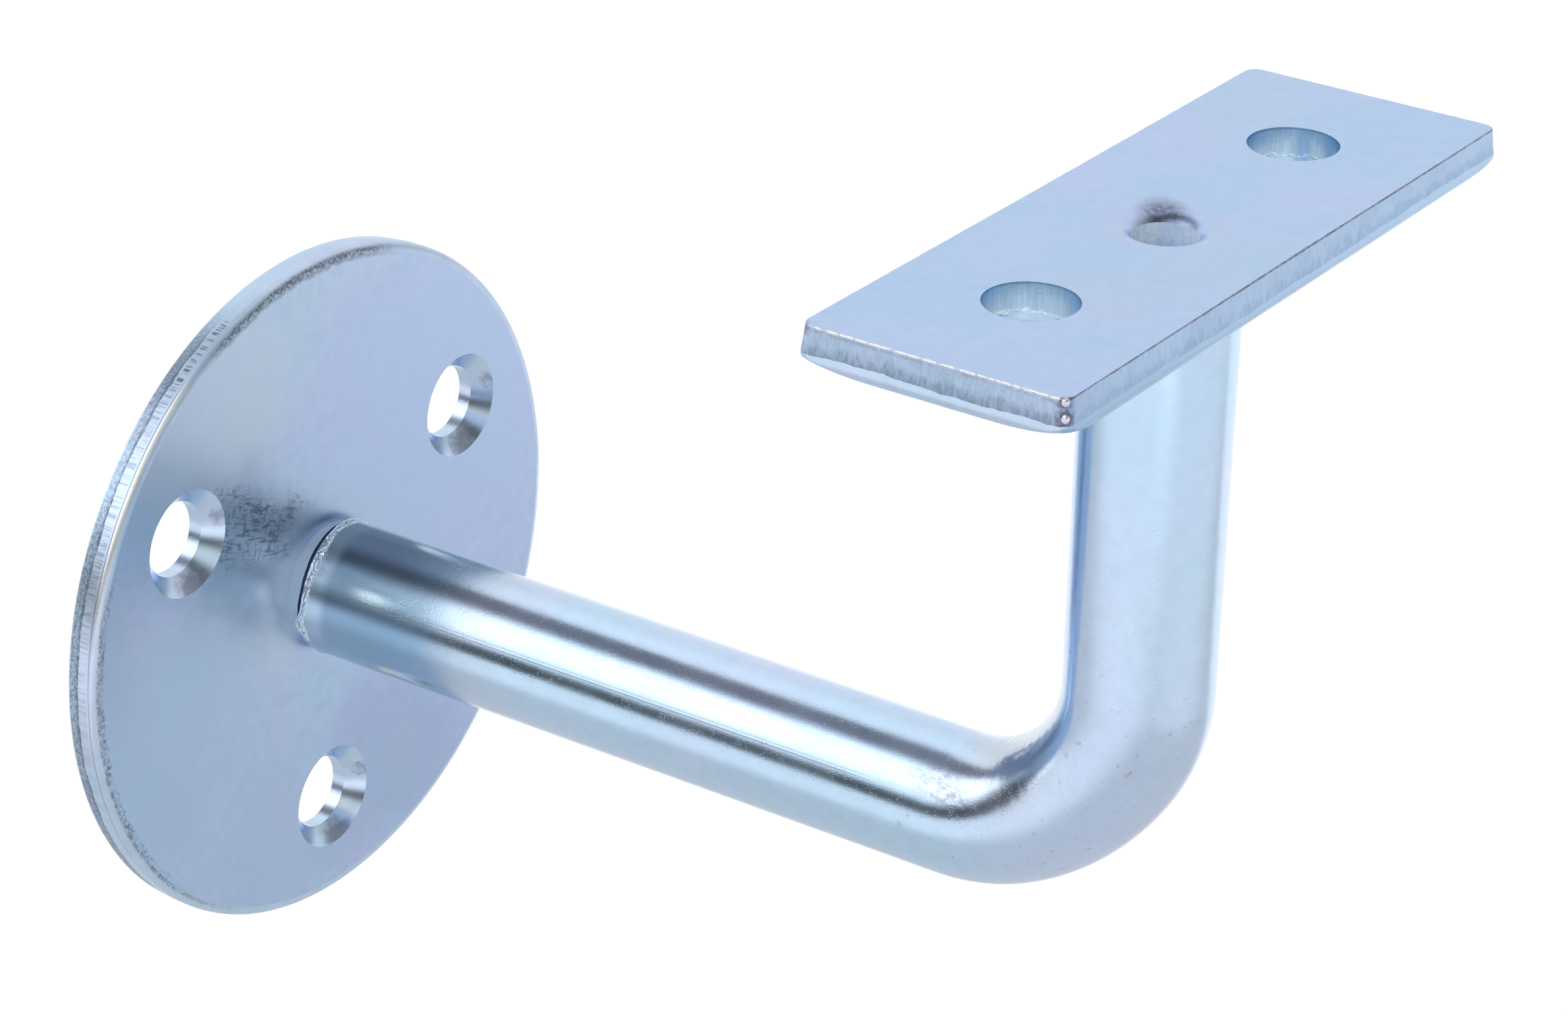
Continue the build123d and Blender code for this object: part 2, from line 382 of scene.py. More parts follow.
def rim_marks(c, colour):
    """A painted dark reflection in the roll over the top and low on the left, a painted highlight along the
    roll at the left, a thin brown line in the crease and drawn striations below it, painted darker at the upper
    left.
    """
    edge = c.away((0.0, plate_front, 0.0), (1.0, 1000.0, 1.0))
    y, turn = c.axis(1), round_disc(c)
    first = plate_front + roll_drop
    broken = c.fade(c.cloud(0.34, 5.0, 22.0), 0.38, 0.62, 0.30, 1.0)
    wander = c.uneven(edge, 0.06, 1.5, 3.0, 28.0)
    # Painted dark reflection in the roll, over the top and low on the left.
    upper = c.times(c.fade(wander, 35.55, 35.85, 1.0, 0.0), over_top(c, turn), broken, 0.85)
    colour = c.blend(upper, colour, (0.13, 0.16, 0.22))
    lower = c.between(turn, 156.0, 166.0, 220.0, 250.0)
    lower = c.times(c.fade(wander, 35.25, 35.55, 1.0, 0.0), lower, broken, 0.75)
    colour = c.blend(lower, colour, (0.13, 0.16, 0.22))
    left = c.between(turn, 122.0, 129.0, 196.0, 225.0)
    # Painted highlight along the roll at the left.
    painted_highlight_arc = c.between(turn, 122.0, 129.0, 156.0, 172.0)
    bright = c.times(c.fade(edge, 35.45, 35.7), painted_highlight_arc, c.fade(y, first - 0.08, first, 1.0, 0.0))
    colour = c.blend(bright, colour, (0.88, 0.94, 1.0))
    crease_line = c.between(y, first - 0.02, first + 0.04, first + 0.10, first + 0.16)
    colour = c.blend(c.times(crease_line, left, 0.75), colour, (0.42, 0.33, 0.38))
    lines = c.fade(c.cloud(0.22, 2.0, 23.0, (1.0, 14.0, 1.0)), 0.48, 0.62)
    lines = c.times(lines, c.fade(y, first + 0.2, first + 0.4))
    colour = c.blend(c.times(lines, left, c.fade(turn, 150.0, 200.0, 0.55, 0.15)), colour, (0.25, 0.31, 0.40))
    # Striations at the upper left painted darker, as part of the same dark reflection.
    painted_dark_streaks = c.between(turn, 109.0, 114.0, 122.0, 130.0)
    upper_band = c.fade(y, first + 0.9, first + 1.2, 1.0, 0.0)
    return c.blend(c.times(lines, upper_band, painted_dark_streaks, 0.9), colour, (0.10, 0.13, 0.17))


def rim_matt(c):
    """The rim is duller over the top and smoothest at the lower left."""
    return c.fade(round_disc(c), 125.0, 160.0, 0.28, 0.12)


def cone_marks(c, colour):
    """Each cone is a little darker at the bottom and at its right."""
    for x, z in screws:
        for right, up, reach, amount in ((0.9, -4.9, 2.6, 0.75), (4.7, 1.0, 1.4, 0.55)):
            far = c.uneven(c.away((x + right, plate_front, z + up)), 0.4, 0.8, 3.0, 81.0)
            colour = c.blend(c.fade(far, reach * 0.3, reach, amount, 0.0), colour, (0.20, 0.22, 0.34))
    return colour


def torn_marks(c, colour):
    """The torn band is greyer and speckled on the left, and is painted pale over the top as the light falling
    there, so it fades into the rim.
    """
    y, turn = c.axis(1), round_disc(c)
    # Painted light: the torn band is paler over the top, where light falls on it.
    painted_light_top = c.fade(turn, 106.0, 122.0, 1.0, 0.0)
    speckle = c.fade(c.cloud(0.30, 4.0, 24.0), 0.40, 0.60, 0.0, c.fade(turn, 140.0, 155.0, 0.45, 0.75))
    colour = c.blend(speckle, colour, (0.19, 0.26, 0.34))
    start = c.fade(y, burnish_end + 0.05, burnish_end + 0.55, 0.80, 0.0)
    start = c.times(start, c.fade(c.cloud(0.5, 3.0, 25.0), 0.35, 0.6, 0.3, 1.0))
    colour = c.blend(start, colour, (0.11, 0.15, 0.21))
    back_edge = c.fade(y, -0.22, -0.06)
    colour = c.blend(c.times(back_edge, 0.7), colour, (0.62, 0.76, 0.93))
    return c.blend(c.times(painted_light_top, 0.9), colour, (0.56, 0.74, 0.94))


pale = {"blue": (0.58, 0.75, 0.95), "lilac": (0.62, 0.74, 0.95), "warm": (0.62, 0.75, 0.91)}
face_zinc = zinc("wall plate face", roughness=0.34, patch=13.0, dust=0.12, marks=plate_marks)
rim_zinc = zinc("wall plate rolled edge", roughness=0.18, grain=0.004, specks=0.006, stretch=(1.0, 5.0, 1.0),
                marks=rim_marks, metallic=0.85, matt=rim_matt, **pale)
torn_zinc = zinc("wall plate torn edge", (0.44, 0.58, 0.75), (0.47, 0.58, 0.76), (0.47, 0.59, 0.72),
                 roughness=0.38, grain=0.012, specks=0.012, marks=torn_marks)
cone_zinc = zinc("countersink", roughness=0.24, ripple=0.004, marks=cone_marks, **pale)
bore_zinc = zinc("screw hole", roughness=0.26, grain=0.006, stretch=(1.0, 4.0, 1.0), **pale)
back_zinc = zinc("wall plate back", roughness=0.34, patch=13.0, dust=0.12)
solid("wall_plate_seen", "wall_plate", parts,
      [face_zinc, rim_zinc, torn_zinc, cone_zinc, bore_zinc, back_zinc])

# Arm: one 14 mm round steel bar, bent cold round a former, which drew its back flat, wrinkled the inside of the
# bend and left pits on the outside. Its ends are blunt cones and are resistance-welded to the plates.

bar_radius = 7.0
bend_radius = 18.5
upright_y = -98.5
bend_start = upright_y + bend_radius
arm_top = 60.0
flattened = 0.7
swollen = 0.3
end_chamfer = 1.2
bar_count = 160
blob_angle = 190.0
neck_depth = 1.0
neck_rows = 11
neck_end = 2.5
fold_start = 0.2
fold_height = 0.05
bell_base = 2.72


def near(turn, angle, spread):
    """One at the given angle in degrees, falling to nothing about twice the spread away from it."""
    off = (turn - angle + 180.0) % 360.0 - 180.0
    return bell_base ** (-((off / spread) ** 2))


def lip_height(turn):
    """How far the weld's lip stands off the plate, which is further on one side than on the other."""
    return 1.2 + 0.9 * near(turn, 155.0, 64.0) - 0.7 * near(turn, blob_angle, 8.0)


# Sections along the bar: a neck under the weld's lip, the level run, the bend, the upright and its own neck.
stations = [(plate_front - s, 0.0, 0.0) for s in np.linspace(0, neck_end, neck_rows)]
stations += [(y, 0.0, 0.0) for y in np.linspace(plate_front - neck_end, bend_start, 150)[1:]]
bend_turns = np.linspace(0, pi / 2, 110)[1:]
stations += [(bend_start - bend_radius * sin(t), bend_radius * (1 - cos(t)), t) for t in bend_turns]
stations += [(upright_y, z, pi / 2) for z in np.linspace(bend_radius, arm_top - neck_end, 84)[1:]]
stations += [(upright_y, arm_top - neck_end + s, pi / 2) for s in np.linspace(0, neck_end, neck_rows)[1:]]
bar_points = []
for y, z, t in stations:
    squash = sin(2 * t) ** 2
    inward = (sin(t), cos(t))
    off = plate_front - y if t == 0 else arm_top - z
    for j in range(bar_count):
        a = 2 * pi * j / bar_count
        lift = sin(a)
        inset = 0.0
        if off <= neck_end:
            under_lip = min(1.0, max(0.0, (lip_height(degrees(a)) - 0.05 - off) / 0.25))
            inset = max(0.0, end_chamfer - off, neck_depth * under_lip)
        wrinkle = 0.0
        if lift > fold_start and 0 < t < pi / 2:
            folds = rough(t * 14.0, 3.0 * cos(a), 0.0, 0.9, 12)
            wrinkle = fold_height * squash * (lift - fold_start) * folds
        side = (bar_radius - inset + squash * swollen + wrinkle) * cos(a)
        depth = (bar_radius - inset + squash * (swollen if lift > 0 else -flattened) + wrinkle) * lift
        bar_points.append((side, y + depth * inward[0], z + depth * inward[1]))
bar_faces = rows(len(stations), bar_count)
bar_faces += [tuple(range(bar_count)), tuple(range(len(bar_points) - bar_count, len(bar_points)))]


def bar_marks(c, colour):
    """Brown pits over the bend, two scratches of the drawing die, painted shade towards the wall, on the bar's
    top near it and inside the bend, and a pale tint by the weld from its heating, painted bright as light
    mirrored off the plate.
    """
    x, y, z = c.axis(0), c.axis(1), c.axis(2)
    bend = c.fade(c.away((-4.0, -95.0, 2.0)), 12.0, 30.0, 1.0, 0.10)
    spots = c.fade(c.cloud(0.9, 3.0, 41.0), 0.63, 0.72, 0.0, 0.45)
    small = c.fade(c.cloud(0.35, 3.0, 43.0), 0.66, 0.74, 0.0, 0.5)
    colour = c.blend(c.times(bend, spots), colour, (0.36, 0.35, 0.37))
    colour = c.blend(c.times(bend, small), colour, (0.22, 0.20, 0.23))
    smear = c.away((-5.4, -81.5, 4.4), (4.0, 5.0, 1.7), (0.15, 0.0, 0.0))
    mottled = c.fade(c.cloud(0.45, 5.0, 46.0, (1.0, 2.0, 1.0)), 0.40, 0.62, 0.1, 1.0)
    colour = c.blend(c.times(c.fade(smear, 0.3, 1.1, 0.70, 0.0), mottled), colour, (0.27, 0.25, 0.27))
    run = c.times(c.fade(y, -76.0, -70.0), c.fade(x, -4.0, -5.0), c.fade(y, -9.0, -6.0, 1.0, 0.0))
    for angle, amount in die_scratches:
        a = radians(angle)
        off = c.maths("ADD", c.maths("MULTIPLY", x, -sin(a)), c.maths("MULTIPLY", z, cos(a)))
        line = c.fade(c.maths("ABSOLUTE", off), 0.02, 0.08, amount, 0.0)
        colour = c.blend(c.times(line, run), colour, (0.20, 0.24, 0.32))
    # Painted shade: the bar is greyer and darker towards the wall.
    colour = c.blend(c.fade(y, -34.0, -12.0, 0.0, 0.75), colour, (0.50, 0.62, 0.65))
    # Painted shade inside the bend.
    inside = c.away((0.0, -90.0, 11.0), (9.0, 10.0, 14.0))
    colour = c.blend(c.fade(inside, 0.5, 1.1, 0.7, 0.0), colour, (0.60, 0.68, 0.74))
    # Painted shade on the bar's top near the wall.
    painted_dark_top = c.times(c.fade(y, -27.0, -12.0), c.fade(z, 4.6, 6.0), c.fade(x, -0.5, 1.5, 1.0, 0.25))
    colour = c.blend(c.times(painted_dark_top, 0.62), colour, (0.17, 0.22, 0.31))
    # A pale tint beside the weld from its heating, painted brighter to stand in for light mirrored off the
    # plate.
    heat_tint_and_painted_sheen = c.times(c.fade(y, -8.4, -7.0), c.fade(z, -4.0, 0.0), c.fade(x, -4.0, -2.0, 1.0, 0.2))
    heat_tint_and_painted_sheen = c.times(heat_tint_and_painted_sheen, c.fade(c.cloud(2.5, 3.0, 47.0), 0.3, 0.6, 0.5, 1.0))
    return c.blend(heat_tint_and_painted_sheen, colour, (0.90, 0.96, 1.0))


die_scratches = ((153.6, 0.75), (151.0, 0.4))
bar_zinc = zinc("bar", (0.56, 0.75, 0.95), (0.61, 0.74, 0.96), (0.61, 0.74, 0.88), roughness=0.18,
                grain=0.004, specks=0.004, speck_size=0.18, patch=20.0, dust=0.06, marks=bar_marks)
solid("arm_seen", "arm", [(bar_points, bar_faces, 0)], [bar_zinc])

# Rail plate: blanked from 4 mm steel, burr upwards. Two screw holes are punched from below and a smaller one
# from above, which drew the face down round it. The rail sits on the plate and is screwed on from below.

half_long, half_wide = 38.0, 13.0
plate_base, thickness = arm_top, 4.0
corner = 1.2
corner_roll = 7.0
side_roll = 0.8
roll_height = 1.3
burnish_height = 1.6
lean = 0.22
tear_start = 0.6
edge_break = 0.12
rail_screws = (-22.5, 22.5)
rail_hole = 4.2
rail_hole_roll = 0.45
centre = (-1.5, -0.7)
centre_hole = 3.0
centre_flare = 0.15
dish = 5.5
dish_depth = 0.85
beads = ((3.72, 0.34), (2.30, 0.28))


def rounded(half_x, half_y, radius, long_count=500, short_count=170, corner_count=24):
    """Points round a rectangle with rounded corners, always the same number of them."""
    loop = []
    sides = (
        (1, 1, 0.0, (-1, 0), long_count),
        (-1, 1, 90.0, (0, -1), short_count),
        (-1, -1, 180.0, (1, 0), long_count),
        (1, -1, 270.0, (0, 1), short_count),
    )
    for sx, sy, first, way, count in sides:
        x0, y0 = sx * (half_x - radius), sy * (half_y - radius)
        for k in range(corner_count):
            a = radians(first + 90.0 * k / (corner_count - 1))
            loop.append((x0 + radius * cos(a), y0 + radius * sin(a)))
        run = 2 * (half_x - radius) if way[0] else 2 * (half_y - radius)
        x1, y1 = loop[-1]
        loop += [(x1 + way[0] * run * k / count, y1 + way[1] * run * k / count) for k in range(1, count)]
    return loop


outer = rounded(half_long, half_wide, corner)
tears = [0.28 * rough(x, y, 0, 3.4, 4) + 0.10 * rough(x, y, 0, 0.7, 2) for x, y in outer]
side_points = []
side_levels = list(np.linspace(0, roll_height, 14)) + [1.4, 1.5, burnish_height]
for h in side_levels:
    up = min(1.0, h / roll_height)
    inset = side_roll * (1 - up) ** 3
    radius = corner + (corner_roll - corner) * (1 - up) ** 1.5
    share = max(0.0, (h - tear_start) / (burnish_height - tear_start))
    for (x, y), tear in zip(rounded(half_long - inset, half_wide - inset, radius), tears):
        side_points.append((x, upright_y + y, plate_base + h + tear * share))
rail_parts = [(side_points, rows(len(side_levels), len(outer)), 1)]
torn_points = []
torn_levels = list(np.linspace(burnish_height, thickness - edge_break, 18))
edge_turns = [radians(d) for d in (18, 36, 54, 72, 90)]
levels = [(h, 0.0) for h in torn_levels]
levels += [(thickness - edge_break * (1 - sin(t)), 1 - cos(t)) for t in edge_turns]
for i, (h, broken) in enumerate(levels):
    up = (h - burnish_height) / (thickness - burnish_height)
    ring = rounded(half_long - lean * up, half_wide - lean * up, corner)
    for (x, y), (ox, oy), tear in zip(ring, outer, tears):
        size = hypot(ox, oy)
        if i == 0:
            pull = 0.0
        else:
            ledge = 0.05 * (1 - (1 - min(1.0, 2.2 * up)) ** 2)
            streaks = 0.012 * rough(x, y, 0.25 * h, 0.25, 9) + 0.014 * rough(x, y, 0.6 * h, 0.9, 7)
            pull = max(0.0, ledge + streaks)
            uneven = 1.0 + 0.7 * rough(x, y, 0, 0.9, 6)
            pull += broken * edge_break * uneven
        corner_away = hypot(ox + half_long - 0.35, oy + half_wide - 0.35)
        for bead, reach in beads:
            bulge = bell_base ** (-(corner_away / reach) ** 2 - ((h - bead) / reach) ** 2)
            pull -= 0.26 * bulge * (1 - 0.6 * broken)
        up_here = plate_base + h + tear * (1 - up)
        torn_points.append((x - ox / size * pull, upright_y + y - oy / size * pull, up_here))
rail_parts.append((torn_points, rows(len(levels), len(outer)), 2))


def inside_plate(a, b, step):
    edge = 1.2 + 0.5 * step
    return abs(a) < half_long - edge and abs(b) < half_wide - edge


def inside_base(a, b, step):
    off_corner = abs(a) < half_long - corner_roll or abs(b) < half_wide - corner_roll
    return inside_plate(a, b, step) and off_corner


hole_break = 0.04
top_edge = [(p[0], p[1] - upright_y) for p in torn_points[-len(outer):]]
top_holes = [((x, 0.0), rail_hole + hole_break) for x in rail_screws] + [(centre, dish)]
flat, triangles = flat_face(top_edge, top_holes, 1.6, inside_plate)
rail_parts.append(([(x, upright_y + y, plate_base + thickness) for x, y in flat], triangles, 0))
base_edge = rounded(half_long - side_roll, half_wide - side_roll, corner_roll)
base_holes = [((x, 0.0), rail_hole + rail_hole_roll) for x in rail_screws]
base_holes.append((centre, centre_hole + centre_flare))
flat, triangles = flat_face(base_edge, base_holes, 2.5, inside_base)
rail_parts.append(([(x, upright_y + y, plate_base) for x, y in flat], triangles, 0))


def bore(middle, profile, kind, ragged=0.0):
    """Wall of a hole from its profile of (radius, height), roughened a little between its two ends."""
    wall = []
    for i, (r, h) in enumerate(profile):
        for x, y in circle((0.0, 0.0), 1.0):
            out = r
            if 0 < i < len(profile) - 1:
                out += ragged * rough(5 * x, 5 * y, 0.4 * h, 0.5, 14)
            wall.append((middle[0] + x * out, upright_y + middle[1] + y * out, plate_base + h))
    rail_parts.append((wall, rows(len(profile), hole_count), kind))


rolled = [
    (rail_hole + rail_hole_roll * (1 - sin(t)), rail_hole_roll * (1 - cos(t)))
    for t in np.linspace(0, pi / 2, 7)
]
broken_top = [
    (rail_hole + hole_break * (1 - cos(t)), thickness - hole_break * (1 - sin(t)))
    for t in np.linspace(0, pi / 2, 4)
]
for x0 in rail_screws:
    straight = [(rail_hole, h) for h in np.linspace(rail_hole_roll, thickness - hole_break, 14)[1:-1]]
    bore((x0, 0.0), rolled + straight + broken_top, 3, 0.008)
dished = []
for share in np.linspace(0, 1, 26):
    r = dish + (centre_hole - dish) * share
    dished.append((r, thickness - dish_depth * (0.45 * share ** 2.2 + 0.55 * share ** 4)))
bore(centre, dished, 4)
lip = thickness - dish_depth
smooth_end = lip - 1.6
bore(centre, [(centre_hole, h) for h in np.linspace(lip, smooth_end, 8)], 5)
bore(centre, [(centre_hole + centre_flare * k / 6, smooth_end * (1 - k / 6)) for k in range(7)], 5, 0.05)


def corner_spots(c, colour):
    """Burnt violet-brown zinc round the two beads of the near corner and on the left corner, and a painted
    glint on each bead.
    """
    bead_places = [(-37.65, upright_y - 12.65, plate_base + bead) for bead, _ in beads]
    spots = [(place, 0.45, 1.05) for place in bead_places]
    spots.append(((-37.7, upright_y + 12.7, plate_base + 3.8), 0.2, 1.1))
    spots.append(((-37.8, upright_y - 12.3, plate_base + 1.4), 0.1, 0.6))
    for place, inside, outside in spots:
        far = c.uneven(c.away(place), 0.25, 0.5, 3.0, 61.0)
        colour = c.blend(c.fade(far, inside, outside, 0.75, 0.0), colour, (0.17, 0.14, 0.21))
    # Painted glint: each bead is painted near white.
    for place, (_, reach) in zip(bead_places, beads):
        far = c.away(place)
        colour = c.blend(c.fade(far, reach * 1.1, reach * 1.5, 1.0, 0.0), colour, (0.84, 0.89, 1.0))
    return colour


def torn_side_marks(c, colour):
    """The tear runs in fine upright streaks, painted darker low down and along the near side as shade, under a
    burr that is brown or dark, and painted bright as a highlight along the short side.
    """
    x, y, z = c.axis(0), c.axis(1), c.axis(2)
    streak = c.fade(c.cloud(0.20, 4.0, 62.0, (1.0, 1.0, 6.0)), 0.36, 0.64)
    colour = c.blend(c.times(streak, 0.24), colour, (0.22, 0.31, 0.43))
    # Painted shade low on the tear, where it leans in.
    low = c.fade(c.uneven(z, 0.45, 1.2, 5.0, 63.0), 62.0, 62.8, 0.55, 0.0)
    low = c.times(low, c.fade(c.cloud(0.3, 4.0, 64.0, (1.0, 1.0, 3.0)), 0.35, 0.6, 0.3, 1.0))
    colour = c.blend(low, colour, (0.18, 0.26, 0.38))
    patchy = c.fade(c.cloud(1.0, 5.0, 65.0), 0.42, 0.56)
    front = c.fade(y, upright_y - 12.2, upright_y - 12.0, 1.0, 0.0)
    # Painted shade along the near side.
    colour = c.blend(c.times(front, 0.55), colour, (0.30, 0.45, 0.67))
    brown_line = c.times(c.fade(z, 63.78, 63.88), front, c.fade(patchy, 0.0, 1.0, 0.30, 0.70))
    colour = c.blend(brown_line, colour, (0.22, 0.19, 0.21))
    short = c.fade(x, -37.3, -37.1, 1.0, 0.0)
    under = c.times(c.between(z, 63.40, 63.60, 63.74, 63.80), short, patchy)
    colour = c.blend(c.times(under, 0.35), colour, (0.30, 0.26, 0.28))
    # Painted highlight along the burr of the short side.
    burr = c.times(c.fade(z, 63.78, 63.84), short, c.fade(c.cloud(0.6, 4.0, 73.0), 0.40, 0.52, 0.25, 1.0))
    colour = c.blend(burr, colour, (0.93, 0.96, 1.0))
    return corner_spots(c, colour)


def burnish_marks(c, colour):
    """Painted shade: the burnished band is a deeper blue along the near side than on the ends."""
    front = c.fade(c.axis(1), upright_y - 12.6, upright_y - 12.0, 1.0, 0.0)
    return c.blend(c.times(front, 0.95), colour, (0.37, 0.54, 0.76))


def hole_marks(c, colour):
    """The punch left a smooth lower part and a streaked upper part, with a ragged bright line between."""
    z = c.uneven(c.axis(2), 0.22, 1.0, 4.0, 66.0)
    above = c.fade(z, 61.35, 61.55)
    streak = c.fade(c.cloud(0.22, 4.0, 67.0, (1.0, 1.0, 9.0)), 0.35, 0.65, 0.1, 0.5)
    colour = c.blend(c.times(above, streak), colour, (0.30, 0.45, 0.60))
    line = c.fade(c.cloud(0.25, 3.0, 68.0), 0.42, 0.60, 0.0, 0.7)
    colour = c.blend(c.times(c.between(z, 61.18, 61.3, 61.40, 61.52), line), colour, (0.80, 0.90, 1.0))
    dark_line = c.times(c.between(z, 61.0, 61.1, 61.15, 61.3), c.fade(c.cloud(1.5, 3.0, 69.0), 0.45, 0.6))
    return c.blend(c.times(dark_line, 0.6), colour, (0.20, 0.24, 0.32))


def hole_tint_and_painted_shade(c, colour):
    """Mottled painted shade behind the centre hole, where the punch drew the face down and the dish mirrors
    dark, in a faint lilac tint.
    """
    far = c.away((centre[0], upright_y + centre[1], plate_base + thickness), (1.0, 1.0, 1000.0))
    lilac_stain = c.times(c.fade(far, 7.0, 4.6), c.fade(c.cloud(3.0, 3.0, 71.0), 0.35, 0.65, 0.1, 0.5))
    colour = c.blend(lilac_stain, colour, (0.54, 0.60, 0.86))
    # Painted shade: a dark mottled patch on the dish behind the hole.
    behind = (centre[0] + 2.6, upright_y + centre[1] + 1.8, plate_base + thickness)
    painted_dark_patch = c.away(behind, (4.4, 2.9, 1000.0), (0.0, 0.0, radians(34.0)))
    mottled = c.fade(c.cloud(0.5, 5.0, 72.0), 0.35, 0.65, 0.65, 1.0)
    return c.blend(c.times(c.fade(painted_dark_patch, 0.2, 1.05, 1.0, 0.0), mottled), colour, (0.15, 0.17, 0.26))


def top_marks(c, colour):
    """What shows on the upper face: the violet-brown corners with their painted glints, and the tint and
    painted shade at the centre hole.
    """
    return hole_tint_and_painted_shade(c, corner_spots(c, colour))


def centre_marks(c, colour):
    """Bright smears of the punch, painted near white as the wall's highlights, with darker zinc between them
    and painted shade at both sides of the hole.
    """
    streak = c.fade(c.cloud(0.45, 5.0, 74.0, (1.0, 1.0, 1.8)), 0.44, 0.58)
    colour = c.blend(c.times(streak, 0.40), colour, (0.45, 0.60, 0.85))
    # Painted shade at both sides of the hole.
    side = c.fade(c.maths("ABSOLUTE", c.maths("ADD", c.axis(0), -centre[0])), 1.6, 2.7)
    return c.blend(c.times(side, 0.45), colour, (0.36, 0.50, 0.75))


top_zinc = zinc("rail plate face", (0.46, 0.64, 0.90), (0.50, 0.63, 0.91), (0.50, 0.64, 0.83), roughness=0.3,
                patch=12.0, dust=0.06, grain=0.0006, grain_size=0.3, marks=top_marks)
rolled_zinc = zinc("rail plate burnished edge", roughness=0.28, grain=0.004, stretch=(1.0, 1.0, 4.0),
                   marks=burnish_marks, **pale)
broken_zinc = zinc("rail plate torn edge", (0.49, 0.65, 0.86), (0.52, 0.64, 0.87), (0.52, 0.65, 0.83),
                   roughness=0.36, grain=0.010, grain_size=0.2, stretch=(1.0, 1.0, 4.0), marks=torn_side_marks)
punched_zinc = zinc("rail plate hole wall", (0.44, 0.64, 0.82), (0.48, 0.64, 0.83), roughness=0.3, grain=0.008,
                    stretch=(1.0, 1.0, 5.0), specks=0.006, marks=hole_marks)
dish_zinc = zinc("rail plate dish", (0.46, 0.64, 0.90), (0.50, 0.63, 0.91), roughness=0.3, grain=0.008,
                 grain_size=0.25, marks=hole_tint_and_painted_shade)
# The centre hole's wall is painted near white and is not metal, as a painted highlight.
centre_zinc = zinc("rail plate centre hole", (0.88, 0.95, 1.0), (0.84, 0.92, 1.0), (0.88, 0.93, 1.0),
                   roughness=0.36, grain=0.012, grain_size=0.3, specks=0.03, stretch=(1.0, 1.0, 2.0), dust=0.0,
                   metallic=0.0, marks=centre_marks)
solid("rail_plate_seen", "rail_plate", rail_parts,
      [top_zinc, rolled_zinc, broken_zinc, punched_zinc, dish_zinc, centre_zinc])

# Weld flash: the thin uneven collar of steel that the resistance welder squeezes out where the bar's end meets
# each plate. A thin lip stands off the plate over a crevice painted dark as its shade, and small beads lie
# behind it on the bar.

flash_reach = bar_radius + 0.35
flash_count = 900
bead_rows = 8
thick_angle = 128.0
curl_angle = 82.0
open_angle = 222.0


def flash_profile(a, seed):
    """Outline of the collar at angle a, as (distance from the plate, radius), from the foot to the bar."""
    c, s = bar_radius * cos(a), bar_radius * sin(a)
    turn = degrees(a)
    wave = rough(c, s, 0, 2.4, seed)
    fine = rough(c, s, 0, 0.7, seed + 1)
    thick, blob = near(turn, thick_angle, 20.0), near(turn, blob_angle, 8.0)
    opening, curl = near(turn, open_angle, 9.0), near(turn, curl_angle, 12.0)
    foot = bar_radius - 0.30 + 0.06 * wave - 0.4 * opening
    gap = lip_height(turn) + 0.10 * wave + 0.05 * fine
    foot_end = max(0.2, gap - 0.75 + 0.6 * blob)
    height = max(0.03, 0.20 + 0.08 * wave + 0.10 * blob + 0.12 * curl + 0.06 * fine - 0.5 * opening)
    top = min(flash_reach, bar_radius + height) - 0.6 * opening
    bead = max(0.03, 0.12 + 0.08 * wave + 0.12 * thick + 0.16 * blob + 0.10 * curl - 0.3 * opening)
    wide = 0.36 + 0.42 * thick + 0.40 * blob + 0.16 * curl
    fill = max(thick, blob)
    outline = [
        (0.0, bar_radius - end_chamfer),
        (0.0, foot),
        (0.6 * foot_end, foot),
        (foot_end, foot - 0.03),
        (foot_end + 0.06, foot - 0.25),
        (gap - 0.12, bar_radius - 0.50 - 0.4 * opening),
        (gap - 0.06, top - 0.12),
        (gap, top),
        (gap + 0.10, top - 0.02),
        (gap + 0.17, bar_radius - 0.02 + fill * (top - bar_radius)),
    ]
    for i in range(bead_rows):
        along = gap + 0.20 + wide * (i + 0.5) / bead_rows
        swell = sin(pi * (i + 0.5) / bead_rows) ** 0.5
        lump = abs(rough(c, s, along, 0.55, seed + 3)) + 0.5 * abs(rough(c, s, along, 0.28, seed + 5))
        outline.append((along, min(flash_reach, bar_radius - 0.02 + swell * bead * (0.5 + 2.2 * lump))))
    outline.append((gap + 0.24 + wide + 0.10 * abs(fine), bar_radius - 0.04))
    return outline


def flash(name, node, foot, out, seed):
    """Uneven collar round the bar. foot is its centre on the plate; out points away along the bar."""
    across = Vector((1, 0, 0))
    up = out.cross(across)
    rings = []
    for k in range(flash_count):
        a = 2 * pi * k / flash_count
        outline = flash_profile(a, seed)
        rings.append([foot + across * (r * cos(a)) + up * (r * sin(a)) + out * along for along, r in outline])
    deep = len(rings[0])
    points = [tuple(rings[k][j]) for j in range(deep) for k in range(flash_count)]
    faces = rows(deep, flash_count)
    band_end, crevice_end = 3 * flash_count, 6 * flash_count
    foot_band, crevice, lip = faces[:band_end], faces[band_end:crevice_end], faces[crevice_end:]
    last = (deep - 1) * flash_count
    lip += [(k, (k + 1) % flash_count, last + (k + 1) % flash_count, last + k) for k in range(flash_count)]
    parts = [(points, foot_band, 0), (points, crevice, 1), (points, lip, 2)]
    return solid(name, node, parts, [foot_zinc, crevice_shade_zinc, flash_zinc], 75.0)


